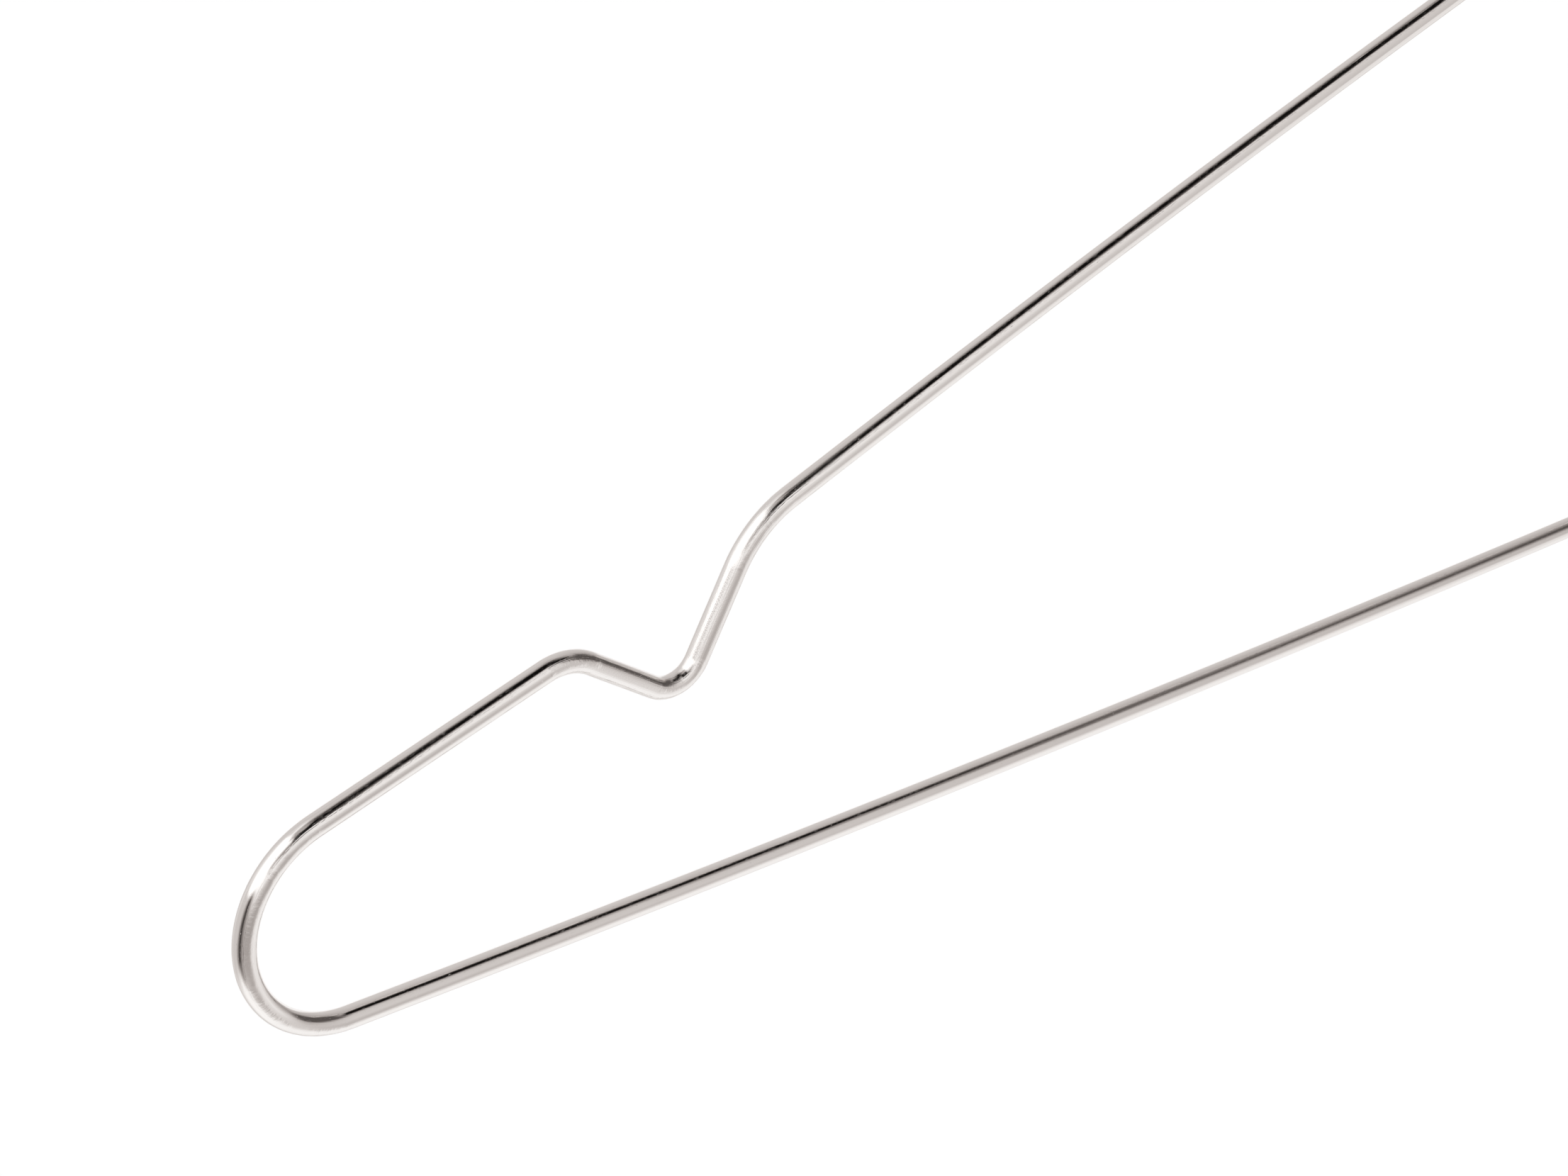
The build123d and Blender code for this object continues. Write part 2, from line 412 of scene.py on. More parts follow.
def make_floor():
    """A large sheet under the hanger, with its own material."""
    material = bpy.data.materials.new("white_paper")
    material.use_nodes = True
    tree = material.node_tree
    paper = tree.nodes["Principled BSDF"]
    paper.inputs["Roughness"].default_value = paper_roughness
    paper.inputs["Specular IOR Level"].default_value = 0.0
    place = tree.nodes.new("ShaderNodeTexCoord").outputs["Object"]
    shade = map_range(tree, noise(tree, place, fibre_scale, 6.0), (0.0, 1.0), paper_shades)
    tree.links.new(shade, paper.inputs["Base Color"])
    strength = maths(tree, "MULTIPLY", seen_rays(tree)[1], floor_glow)
    glow = add_node(tree, "ShaderNodeEmission", {"Strength": strength})
    both = add_node(tree, "ShaderNodeAddShader", {0: paper.outputs[0], 1: glow.outputs[0]})
    tree.links.new(both.outputs[0], tree.nodes["Material Output"].inputs["Surface"])
    sheet = bmesh.new()
    bmesh.ops.create_grid(sheet, x_segments=8, y_segments=8, size=floor_width / 2)
    bmesh.ops.translate(sheet, verts=sheet.verts, vec=(0.0, 0.0, cad_low.z - floor_drop))
    data = mesh_data("floor", sheet)
    data.materials.append(material)
    floor = new_object("floor", data)
    floor.visible_glossy = False


make_floor()
print(f"Floor {floor_drop:.1f} m below the bar")

# %% [markdown]
# Now the metal. Drawn wire keeps the marks of the die: shallow lines along its whole length, and
# one deeper one where the die had a nick. Polishing and plating soften them but leave fine
# scratches, a grain and a few pits. Cold bending raises the grain, and wrinkles the wire across
# where it is bent. Each of these is a node group that puts out a height, and the Bump nodes of
# a finish turn the heights into slopes.
# The lines have to follow the wire round its bends, so they don't use plain object
# coordinates. The wires carry an attribute, wire_lay, with the place on the section and the
# distance along the wire, another, bend_tightness, that is above zero in the bends, and a third,
# tool_rub, that tells how hard the bending tool has rubbed.

# %% Node groups for lines, grain and pits
line_roughness = 0.55
scratch_steepness = 10.0
blot_share = 0.35
speck_steepness = 12.0


def in_cells(group, lay, width, length):
    """The wire's lay, divided into cells of a width across the wire and a length along it."""
    size = add_node(group, "ShaderNodeCombineXYZ", {"X": width, "Y": width, "Z": length})
    place = add_node(group, "ShaderNodeVectorMath", {0: lay, 1: size.outputs[0]},
                     operation="DIVIDE")
    return place.outputs["Vector"]


def stretched_noise(group, lay, width, length, detail=2.0):
    """Noise that is as coarse as a width across the wire and a length along it."""
    return noise(group, in_cells(group, lay, width, length), 1.0, detail, line_roughness)


def above(group, height, level, steepness):
    """A mask that rises from 0 to 1 where a height is above a level."""
    over = maths(group, "SUBTRACT", height, level)
    return maths(group, "MULTIPLY", over, steepness, clamp=True)


def make_drawing_lines():
    """Shallow lines along the wire, of a given width and length, and scratches where few rise."""
    group, source, result = new_group(
        "drawing_lines", ("Lay",), {"Line Width": 0.00008, "Line Length": 0.02, "Rarity": 0.64},
        ("Height", "Scratches"))
    lines = stretched_noise(group, source["Lay"], source["Line Width"], source["Line Length"])
    group.links.new(lines, result["Height"])
    scratches = above(group, lines, source["Rarity"], scratch_steepness)
    group.links.new(scratches, result["Scratches"])
    return group


def make_fine_speckle():
    """A fine even grain, and a mask of the few larger specks in it."""
    group, source, result = new_group(
        "fine_speckle", ("Place",), {"Grain": 0.0001, "Rarity": 0.66}, ("Height", "Specks"))
    fine = maths(group, "DIVIDE", 1.0, source["Grain"])
    group.links.new(noise(group, source["Place"], fine, 2.0, 0.6), result["Height"])
    coarse = maths(group, "MULTIPLY", fine, blot_share)
    blots = noise(group, source["Place"], coarse, 3.0, 0.7)
    specks = above(group, blots, source["Rarity"], speck_steepness)
    group.links.new(specks, result["Specks"])
    return group


def make_plating_pits():
    """Tiny pits, a given distance apart, drawn out along the wire."""
    group, source, result = new_group(
        "plating_pits", ("Lay",),
        {"Spacing": 0.0005, "Pit Radius": 0.00005, "Drawn Out": 3.0}, ("Height",))
    longer = maths(group, "MULTIPLY", source["Spacing"], source["Drawn Out"])
    place = in_cells(group, source["Lay"], source["Spacing"], longer)
    cells = add_node(group, "ShaderNodeTexVoronoi", {"Vector": place, "Scale": 1.0})
    reach = maths(group, "DIVIDE", source["Pit Radius"], source["Spacing"])
    share = maths(group, "DIVIDE", cells.outputs["Distance"], reach)
    rise = map_range(group, share, (0.0, 1.0), easing="SMOOTHSTEP")
    group.links.new(rise, result["Height"])
    return group


drawing_lines = make_drawing_lines()
fine_speckle = make_fine_speckle()
plating_pits = make_plating_pits()
print("Node groups:", drawing_lines.name, fine_speckle.name, plating_pits.name)

# %% [markdown]
# Two more marks lie at a place on the wire's section, so they measure how far a point is from
# that place: the wrinkles of a bend on one flank, and the ragged groove from the nick in the die.

# %% Node groups for wrinkles and the groove
patch_scale = 500.0
patch_limits = (0.38, 0.58)
flank_limits = (1.0, 0.3)
bend_steepness = 8.0
groove_wander = (0.01, 0.004)
wander_middle = 0.35
groove_breaks = (0.0003, 0.0009)
break_level = 0.40
break_steepness = 8.0


def distance_on_section(group, lay, place):
    """How far a point is from a place on the wire's section, whatever its place along the wire."""
    part = add_node(group, "ShaderNodeSeparateXYZ", {0: lay}).outputs
    section = add_node(group, "ShaderNodeCombineXYZ", {"X": part["X"], "Y": part["Y"]})
    away = add_node(group, "ShaderNodeVectorMath", {0: section.outputs[0], 1: place},
                    operation="DISTANCE")
    return away.outputs["Value"]


def make_bend_wrinkles():
    """Short wrinkles across the wire, only where it is bent and on one flank."""
    group, source, result = new_group(
        "bend_wrinkles", ("Lay", "Place"),
        {"Tightness": 0.0, "Spacing": 0.0003, "Reach": 0.001, "Spread": 0.0007}, ("Height",))
    folds = stretched_noise(group, source["Lay"], source["Reach"], source["Spacing"], detail=3.0)
    away = maths(group, "DIVIDE", distance_on_section(group, source["Lay"], source["Place"]),
                 source["Spread"])
    flank = map_range(group, away, flank_limits, easing="SMOOTHSTEP")
    patches = map_range(group, noise(group, source["Lay"], patch_scale, 1.0), patch_limits)
    tight = maths(group, "MULTIPLY", source["Tightness"], bend_steepness, clamp=True)
    strength = maths(group, "MULTIPLY", maths(group, "MULTIPLY", tight, patches), flank)
    group.links.new(maths(group, "MULTIPLY", folds, strength), result["Height"])
    return group


def make_die_nick():
    """One ragged groove along the wire, at a place on its section."""
    group, source, result = new_group(
        "die_nick", ("Lay", "Place"), {"Width": 0.00012}, ("Height",))
    away = distance_on_section(group, source["Lay"], source["Place"])
    wander = stretched_noise(group, source["Lay"], *groove_wander, detail=4.0)
    aside = maths(group, "SUBTRACT", wander, wander_middle)
    shift = maths(group, "MULTIPLY", aside, source["Width"])
    share = maths(group, "DIVIDE", maths(group, "ADD", away, shift), source["Width"])
    inside = maths(group, "SUBTRACT", 1.0, share, clamp=True)
    breaks = stretched_noise(group, source["Lay"], *groove_breaks)
    unbroken = above(group, breaks, break_level, break_steepness)
    group.links.new(maths(group, "MULTIPLY", inside, unbroken), result["Height"])
    return group


bend_wrinkles = make_bend_wrinkles()
die_nick = make_die_nick()
print("Node groups:", bend_wrinkles.name, die_nick.name)

# %% [markdown]
# The plating of the two wires is bright and slightly warm, so its colour is a pale cream grey,
# and it is fully metallic. Roughness is low, and a little higher in patches where handling has
# dulled it. The heights are chained through Bump nodes, the widest mark first.

# %% Finish of the wires
plating_warm = (0.905, 0.868, 0.842, 1.0)
plating_cool = (0.898, 0.872, 0.855, 1.0)
nick_place = (0.62, -0.78, 0.0)
scuff_place = (0.33, -0.94, 0.0)
drift_scale = 60.0
broad_lines = {"Line Width": 0.0004, "Line Length": 0.06}
broad_line_depth = 6e-6
fine_lines = {"Line Width": 0.00012, "Line Length": 0.006}
fine_line_depth = 2.5e-6
rubbed_line_depth = 2.0e-5
wrinkles = {"Spacing": 0.0003, "Reach": 0.0006}
wrinkle_depth = 4.5e-5
nick_depth = 1e-5
wire_grain = {"Grain": 0.00018, "Rarity": 0.64}
grain_depth = 8e-7
rubbed_grain_depth = 7e-6
hair_scratches = {"Line Width": 0.00005, "Line Length": 0.0009, "Rarity": 0.64}
scratch_depth = 2.5e-6
wire_pits = {"Spacing": 0.00055, "Pit Radius": 0.00005}
pit_depth = 1.2e-5
wire_gloss = 0.03
dull_patch = 0.03
dull_patch_scale = 260.0
dull_patch_limits = (0.45, 0.7)
dull_speck = 0.10


def new_finish(name):
    """A material with its Principled node, ready for links."""
    material = bpy.data.materials.new(name)
    material.use_nodes = True
    return material, material.node_tree, material.node_tree.nodes["Principled BSDF"]


def bump(tree, height, depth, normal=None):
    """A Bump node for a height from 0 to 1 that stands for a depth in metres."""
    inputs = {"Height": height, "Distance": depth, "Strength": 1.0}
    if normal is not None:
        inputs["Normal"] = normal
    return add_node(tree, "ShaderNodeBump", inputs).outputs["Normal"]


def mix_colours(tree, factor, first, second):
    """The result of a Mix node for colours, whose inputs are its seventh and eighth."""
    mix = add_node(tree, "ShaderNodeMix", {"Factor": factor, 6: first, 7: second},
                   data_type="RGBA")
    return mix.outputs[2]


def plating_colour(tree, place):
    """A cream grey that drifts slightly from warm to cool over the piece."""
    return mix_colours(tree, noise(tree, place, drift_scale, 2.0), plating_warm, plating_cool)


def attribute(tree, name, output="Fac"):
    """What an attribute of the mesh holds at each point."""
    return add_node(tree, "ShaderNodeAttribute", attribute_name=name).outputs[output]


def link_metal(tree, metal, normal, roughness, colour):
    """Make a Principled node a bare metal and give it its three links."""
    metal.inputs["Metallic"].default_value = 1.0
    tree.links.new(normal, metal.inputs["Normal"])
    tree.links.new(roughness, metal.inputs["Roughness"])
    tree.links.new(colour, metal.inputs["Base Color"])


def make_wire_finish(name, wire_radius):
    """Bright plating over drawn and bent wire."""
    material, tree, metal = new_finish(name)
    lay = attribute(tree, "wire_lay", "Vector")
    rubbed = attribute(tree, "tool_rub")
    line_depth = map_range(tree, rubbed, (0.0, 1.0), (fine_line_depth, rubbed_line_depth))
    speckle_depth = map_range(tree, rubbed, (0.0, 1.0), (grain_depth, rubbed_grain_depth))
    broad, fine, hair = (use_group(tree, drawing_lines, {"Lay": lay, **lines}).outputs
                         for lines in (broad_lines, fine_lines, hair_scratches))
    grain = use_group(tree, fine_speckle, {"Place": lay, **wire_grain}).outputs
    pits = use_group(tree, plating_pits, {"Lay": lay, **wire_pits}).outputs
    folds = use_group(tree, bend_wrinkles,
                      {"Lay": lay, "Place": Vector(scuff_place) * wire_radius,
                       "Tightness": attribute(tree, "bend_tightness"), **wrinkles}).outputs
    nick = use_group(tree, die_nick,
                     {"Lay": lay, "Place": Vector(nick_place) * wire_radius}).outputs
    normal = None
    for height, depth in (
        (broad["Height"], broad_line_depth),
        (folds["Height"], wrinkle_depth),
        (fine["Height"], line_depth),
        (nick["Height"], -nick_depth),
        (grain["Height"], speckle_depth),
        (hair["Scratches"], -scratch_depth),
        (pits["Height"], pit_depth),
    ):
        normal = bump(tree, height, depth, normal)
    dulled = map_range(tree, noise(tree, lay, dull_patch_scale, 3.0), dull_patch_limits,
                       (wire_gloss, wire_gloss + dull_patch))
    rough = maths(tree, "MULTIPLY_ADD", grain["Specks"], dull_speck, dulled)
    link_metal(tree, metal, normal, rough, plating_colour(tree, lay))
    return material


frame_wire_finish = make_wire_finish("plated_frame_wire", frame_wire_radius)
hook_wire_finish = make_wire_finish("plated_hook_wire", hook_wire_radius)
print("Finishes:", frame_wire_finish.name, hook_wire_finish.name)

# %% [markdown]
# The pieces at the neck are turned on a lathe, so their marks run round them. A line is then a
# height that changes only with the distance from the axis and the height up it, and the lathe
# lines group reads those two instead of the wire's lay.

# %% Finish of the turned pieces
ring_pitch = 0.00007
ring_depth = 1.0e-6
turned_grain = {"Grain": 0.00012, "Rarity": 0.66}
turned_grain_depth = 5e-7
turned_roughness = (0.06, 0.2)


def make_lathe_lines():
    """Fine rings round the Z axis."""
    group, source, result = new_group(
        "lathe_lines", ("Place",), {"Pitch": 0.00006}, ("Height",))
    part = add_node(group, "ShaderNodeSeparateXYZ", {0: source["Place"]}).outputs
    flat = add_node(group, "ShaderNodeCombineXYZ", {"X": part["X"], "Y": part["Y"]})
    radius = add_node(group, "ShaderNodeVectorMath", {0: flat.outputs[0]}, operation="LENGTH")
    spot = add_node(group, "ShaderNodeCombineXYZ", {"X": radius.outputs["Value"], "Y": part["Z"]})
    scale = maths(group, "DIVIDE", 1.0, source["Pitch"])
    rings = noise(group, spot.outputs[0], scale, 3.0, 0.7)
    group.links.new(rings, result["Height"])
    return group


lathe_lines = make_lathe_lines()


def make_turned_finish(name):
    """Bright plating over a turned piece."""
    material, tree, metal = new_finish(name)
    place = tree.nodes.new("ShaderNodeTexCoord").outputs["Object"]
    rings = use_group(tree, lathe_lines, {"Place": place, "Pitch": ring_pitch}).outputs["Height"]
    grain = use_group(tree, fine_speckle, {"Place": place, **turned_grain}).outputs
    normal = bump(tree, grain["Height"], turned_grain_depth, bump(tree, rings, ring_depth))
    rough = map_range(tree, grain["Specks"], (0.0, 1.0), turned_roughness)
    link_metal(tree, metal, normal, rough, plating_colour(tree, place))
    return material


sleeve_finish = make_turned_finish("plated_sleeve")
cap_finish = make_turned_finish("plated_cap")
print("Finishes:", sleeve_finish.name, cap_finish.name)

# %% [markdown]
# The braze metal has flowed and set, so it has soft ripples and duller specks. The washer is
# plain stamped steel, tumbled until it is dull and finely dented.

# %% Finishes of the braze metal and the washer
ripple_scale = 1800.0
ripple_distortion = 0.6
ripple_depth = 1.2e-5
braze_grain = {"Grain": 0.00016, "Rarity": 0.6}
braze_grain_depth = 1.5e-6
braze_roughness = (0.14, 0.4)
dent_scale = 900.0
dent_limits = (0.35, 0.65)
dent_depth = 8e-6
washer_grain = {"Grain": 0.00018, "Rarity": 0.58}
washer_grain_depth = 3e-6
washer_roughness = (0.22, 0.38)
washer_steel = (0.62, 0.61, 0.60, 1.0)
washer_specks = (0.46, 0.44, 0.42, 1.0)


def make_braze_finish():
    """Plating over braze metal that has flowed into the corner and set."""
    material, tree, metal = new_finish("plated_braze")
    place = tree.nodes.new("ShaderNodeTexCoord").outputs["Object"]
    ripple = noise(tree, place, ripple_scale, 3.0, distortion=ripple_distortion)
    grain = use_group(tree, fine_speckle, {"Place": place, **braze_grain}).outputs
    normal = bump(tree, grain["Height"], braze_grain_depth, bump(tree, ripple, ripple_depth))
    rough = map_range(tree, grain["Specks"], (0.0, 1.0), braze_roughness)
    link_metal(tree, metal, normal, rough, plating_colour(tree, place))
    return material


def make_washer_finish():
    """Plain steel, stamped and tumbled until its faces are evenly dull."""
    material, tree, metal = new_finish("tumbled_washer_steel")
    place = tree.nodes.new("ShaderNodeTexCoord").outputs["Object"]
    grain = use_group(tree, fine_speckle, {"Place": place, **washer_grain}).outputs
    dents = noise(tree, place, dent_scale, 4.0)
    normal = bump(tree, grain["Height"], washer_grain_depth, bump(tree, dents, dent_depth))
    rough = map_range(tree, dents, dent_limits, washer_roughness)
    colour = mix_colours(tree, grain["Specks"], washer_steel, washer_specks)
    link_metal(tree, metal, normal, rough, colour)
    return material


braze_finish = make_braze_finish()
washer_finish = make_washer_finish()
print("Finishes:", braze_finish.name, washer_finish.name)

# %% [markdown]
# A bending machine feeds wire through a die and bends it round a pin, again and again. The
# class below does the same to a mesh: it holds the ring of edges at the wire's open end,
# extrudes it, and carries the new ring forward or round a bend by one rigid motion. A sweep
# along a curve would also make the shape, but this way each run and each bend keeps its true
# length and radius, and the rings can note where they are along the wire.

# %% Feeding and bending a wire
ring_sides = 64
bend_step = 1.5
fewest_bend_rings = 12
run_pitch = 0.004
settle_run = 0.0004


class WireEnd:
    """The open end of a round wire that lies about the plane y = 0."""

    def __init__(self, mesh, ring, at, heading, radius):
        self.mesh = mesh
        self.edges = ring
        self.at = Vector(at)
        self.heading = Vector(heading)
        self.radius = radius
        self.fed = 0.0
        self.sense = 1.0 if self.heading.x >= 0.0 else -1.0
        self.lay = mesh.verts.layers.float_vector["wire_lay"]
        self.tightness = mesh.verts.layers.float["bend_tightness"]
        self.rub = mesh.verts.layers.float["tool_rub"]
        self.rubbed = 0.0

    def carry(self, motion, length, tightness=0.0):
        """Extrude the end ring and carry the new ring by a motion."""
        made = bmesh.ops.extrude_edge_only(self.mesh, edges=self.edges)["geom"]
        verts = {part for part in made if isinstance(part, bmesh.types.BMVert)}
        edges = [part for part in made if isinstance(part, bmesh.types.BMEdge)]
        bmesh.ops.transform(self.mesh, matrix=motion, verts=list(verts))
        self.edges = [edge for edge in edges if verts.issuperset(edge.verts)]
        self.at = motion @ self.at
        self.heading = (motion.to_3x3() @ self.heading).normalized()
        self.fed += length
        for vert in verts:
            place = vert[self.lay]
            vert[self.lay] = (place.x, place.y, self.sense * self.fed)
            vert[self.tightness] = tightness
            vert[self.rub] = self.rubbed

    def feed(self, length):
        """Push the end straight on, with a short step at each end of the run."""
        inner = length - 2.0 * settle_run
        count = max(1, round(inner / run_pitch))
        for step in [settle_run] + [inner / count] * count + [settle_run]:
            self.carry(Matrix.Translation(self.heading * step), step)

    def bend(self, radius, turn):
        """Bend on through an arc. A positive turn is to the left, seen from the front."""
        left = Vector((-self.heading.z, 0.0, self.heading.x))
        centre = self.at + left * (radius if turn > 0.0 else -radius)
        count = max(fewest_bend_rings, round(abs(turn) / bend_step))
        turned = Matrix.Rotation(-radians(turn) / count, 4, "Y")
        motion = Matrix.Translation(centre) @ turned @ Matrix.Translation(-centre)
        for step in range(count):
            last = 0.5 if step == count - 1 else 1.0
            self.carry(motion, radius * radians(abs(turn)) / count, last * self.radius / radius)

    def taper(self, forward, radius):
        """Push the end on and change its radius."""
        grown = Matrix.Scale(radius / self.radius, 4)
        ahead = Matrix.Translation(self.at + self.heading * forward)
        self.carry(ahead @ grown @ Matrix.Translation(-self.at), forward)
        self.radius = radius

    def close(self):
        """Put a face over the end."""
        bmesh.ops.contextual_create(self.mesh, geom=self.edges)


def new_wire_mesh():
    """An empty mesh with the three attributes that the wire finishes read."""
    mesh = bmesh.new()
    mesh.verts.layers.float_vector.new("wire_lay")
    mesh.verts.layers.float.new("bend_tightness")
    mesh.verts.layers.float.new("tool_rub")
    return mesh


def add_piece(mesh, name, finish, body, node, sharp_angle=40.0):
    """Turn a finished mesh into the piece that stands for a node of the frame."""
    bmesh.ops.recalc_face_normals(mesh, faces=mesh.faces)
    data = mesh_data(name, mesh)
    data.shade_smooth()
    data.set_sharp_from_angle(angle=radians(sharp_angle))
    data.materials.append(finish)
    piece = new_object(name, data)
    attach(piece, body)
    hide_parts(node)
    low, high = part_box(node)
    spans = [(min(along), max(along)) for along in zip(*piece.bound_box)]
    off = max(max(abs(spans[k][0] - low[k]), abs(spans[k][1] - high[k])) for k in range(3))
    print(f"{name}: {len(data.polygons)} faces, within {off * 1000:.3f} mm of the frame's {node}")


# %% [markdown]
# The frame wire is bent from the middle of the bar outwards, first to the left and then to the
# right, from the same ring. Its bar is bowed by a few millimetres and each shoulder is arched
# the least bit, as cold-bent wire springs back. The last arc ends on the floor of the sleeve's
# socket, so its turn is worked out from how far the wire still has to reach. The corners are
# bent on a large roller that hardly marks the wire, but the notches are pressed by a small tool
# that rubs it.

# %% Frame wire
bar_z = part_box("frame_wire")[0].z + frame_wire_radius
outer_reach = hanger_width / 2 - frame_wire_radius
bar_turn = degrees(asin((outer_reach - corner_radius) / (bar_bow_radius - corner_radius)))
corner_turn = 180.0 - bar_turn - end_run_climb
socket_floor_reach = sleeve_radius - socket_depth
corner_rub = 0.12
notch_rub = 1.0


def bend_half_frame(end, side):
    """Half of the frame, from the middle of the bar to the end in the sleeve."""
    end.bend(bar_bow_radius, side * bar_turn)
    end.rubbed = corner_rub
    end.bend(corner_radius, side * corner_turn)
    end.feed(end_run)
    end.rubbed = notch_rub
    end.bend(crest_radius, side * (end_run_climb + dip_fall))
    end.feed(dip_fall_run)
    end.bend(dip_radius, -side * (dip_fall + dip_rise))
    end.feed(dip_rise_run)
    end.bend(shoulder_bend_radius, side * (dip_rise - shoulder_climb))
    end.rubbed = corner_rub
    reach = abs(end.at.x) - socket_floor_reach
    neck_climb = degrees(asin(sin(radians(shoulder_climb)) - reach / shoulder_arch_radius))
    end.bend(shoulder_arch_radius, side * (shoulder_climb - neck_climb))
    end.close()
    return neck_climb


frame_mesh = new_wire_mesh()
middle = Vector((0.0, 0.0, bar_z))
across_bar = Matrix.Translation(middle) @ Matrix.Rotation(pi / 2, 4, "Y")
start = bmesh.ops.create_circle(frame_mesh, segments=ring_sides, radius=frame_wire_radius,
                                matrix=across_bar)["verts"]
frame_lay = frame_mesh.verts.layers.float_vector["wire_lay"]
for vert in start:
    out = vert.co - middle
    vert[frame_lay] = (-out.z, out.y, 0.0)
start_ring = list(frame_mesh.edges)
for side in (-1.0, 1.0):
    wire_end = WireEnd(frame_mesh, start_ring, middle, (side, 0.0, 0.0), frame_wire_radius)
    neck_climb = bend_half_frame(wire_end, side)
    socket_floor = wire_end.at.copy()
print(f"The frame wire is {2 * wire_end.fed:.3f} m long and climbs {neck_climb:.2f} degrees "
      "into the sleeve")
add_piece(frame_mesh, "bent_frame_wire", frame_wire_finish, "frame", "frame_wire")

# %% [markdown]
# The hook starts on the lathe: its foot, from the peened end up to the top of the shank, is a
# profile spun round the swivel axis. Small corners are rounded before the spin, by bevelling
# the profile's vertices, because no turned edge is perfectly sharp and bright plating shows it.

# %% Turning a profile
corner_easing = 0.00006
easing_segments = 3
merge_distance = 1e-6


def turn_profile(mesh, corners, plain=(), closed=False, sides=ring_sides):
    """Spin a profile of (radius, height) corners round Z. Those in plain aren't rounded."""
    verts = [mesh.verts.new((radius, 0.0, height)) for radius, height in corners]
    for first, second in zip(verts, verts[1:] + verts[:1] if closed else verts[1:]):
        mesh.edges.new((first, second))
    kept = {corners.index(corner) for corner in plain}
    if not closed:
        kept |= {0, len(corners) - 1}
    rounded = [vert for index, vert in enumerate(verts) if index not in kept]
    bmesh.ops.bevel(mesh, geom=rounded, offset=corner_easing, offset_type="OFFSET",
                    segments=easing_segments, profile=0.5, affect="VERTICES", clamp_overlap=True,
                    material=-1)
    bmesh.ops.spin(mesh, geom=mesh.verts[:] + mesh.edges[:], cent=(0.0, 0.0, 0.0),
                   axis=(0.0, 0.0, 1.0), angle=2.0 * pi, steps=sides, use_merge=True)
    bmesh.ops.remove_doubles(mesh, verts=mesh.verts, dist=merge_distance)


# %% Sizes of the hook that follow from the others
crown_radius = hook_inner_radius + hook_wire_radius
swan_turn = crown_wrap - 90.0
swan_offset = swan_radius * (1.0 - cos(radians(swan_turn)))
throat_run = (crown_radius * sin(radians(crown_wrap)) - swan_offset) / sin(radians(swan_turn))
shank_foot_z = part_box("thrust_washer")[1].z
shank_top_z = shank_foot_z + shank_length
bead_bottom_z = shank_foot_z + sleeve_height + 2.0 * axial_play
bead_top_z = bead_bottom_z + bead_height
bead_radius = hook_wire_radius + bead_overhang
cap_bottom_z = shank_foot_z - washer_thickness - cap_height
peen_arc_radius = (peen_radius ** 2 + peen_height ** 2) / (2.0 * peen_height)
peen_arc_points = 8
print(f"The hook's crown has a radius of {crown_radius * 1000:.2f} mm")

# %% Foot of the hook, turned


def peened_dome():
    """The profile of the peened head, from the axis out to its rim."""
    half_angle = asin(peen_radius / peen_arc_radius)
    foot_z = cap_bottom_z - peen_height
    for step in range(peen_arc_points + 1):
        angle = half_angle * step / peen_arc_points
        yield (peen_arc_radius * sin(angle), foot_z + peen_arc_radius * (1.0 - cos(angle)))


dome = list(peened_dome())
shank_profile = dome + [
    (spigot_radius, cap_bottom_z),
    (spigot_radius, shank_foot_z),
    (hook_wire_radius, shank_foot_z),
    (hook_wire_radius, bead_bottom_z),
    (bead_radius - bead_chamfer, bead_bottom_z),
    (bead_radius, bead_bottom_z + bead_chamfer),
    (bead_radius, bead_top_z - bead_chamfer),
    (bead_radius - bead_chamfer, bead_top_z),
    (hook_wire_radius, bead_top_z),
    (hook_wire_radius, shank_top_z - settle_run),
    (hook_wire_radius, shank_top_z),
]
hook_mesh = new_wire_mesh()
turn_profile(hook_mesh, shank_profile, plain=dome[:-1] + shank_profile[-2:])
hook_lay = hook_mesh.verts.layers.float_vector["wire_lay"]
for vert in hook_mesh.verts:
    vert[hook_lay] = (vert.co.x, vert.co.y, vert.co.z - shank_top_z)
print("The hook's foot has", len(hook_mesh.faces), "faces")

# %% [markdown]
# The ring at the top of the turned foot is now fed and bent like the frame wire: back to one
# side, straight on, over the rail and round, and outwards at the tip. The tip is rounded in
# small steps that each make the ring a little smaller.

# %% Hook, bent from the top of its foot
shank_ring = [edge for edge in hook_mesh.edges if edge.is_boundary]
hook_end = WireEnd(hook_mesh, shank_ring, (0.0, 0.0, shank_top_z), (0.0, 0.0, 1.0),
                   hook_wire_radius)
hook_end.bend(swan_radius, -swan_turn)
hook_end.feed(throat_run)
hook_end.bend(crown_radius, crown_wrap + mouth_wrap)
hook_end.bend(tip_flare_radius, -tip_flare)
hook_end.feed(tip_run - tip_rounding)
tip_steps = 10
for step in range(tip_steps):
    before, after = (radians(90.0 * (step + k) / tip_steps) for k in (0, 1))
    hook_end.taper(tip_rounding * (sin(after) - sin(before)),
                   hook_wire_radius - tip_rounding * (1.0 - cos(after)))
hook_end.close()
add_piece(hook_mesh, "swivel_hook_wire", hook_wire_finish, "hook", "hook")

# %% [markdown]
# The sleeve, the washer and the cap are closed profiles, spun right round. The sleeve gets two
# plain rings beside its middle, so that only the short faces between them are cut when the
# sockets for the frame wire are drilled.

# %% Neck sleeve
lathe_sides = 96
sleeve_top_z = bead_bottom_z - axial_play
sleeve_bottom_z = sleeve_top_z - sleeve_height
sleeve_middle_z = (sleeve_top_z + sleeve_bottom_z) / 2
bore_radius = hook_wire_radius + bore_clearance
socket_band = 0.0031


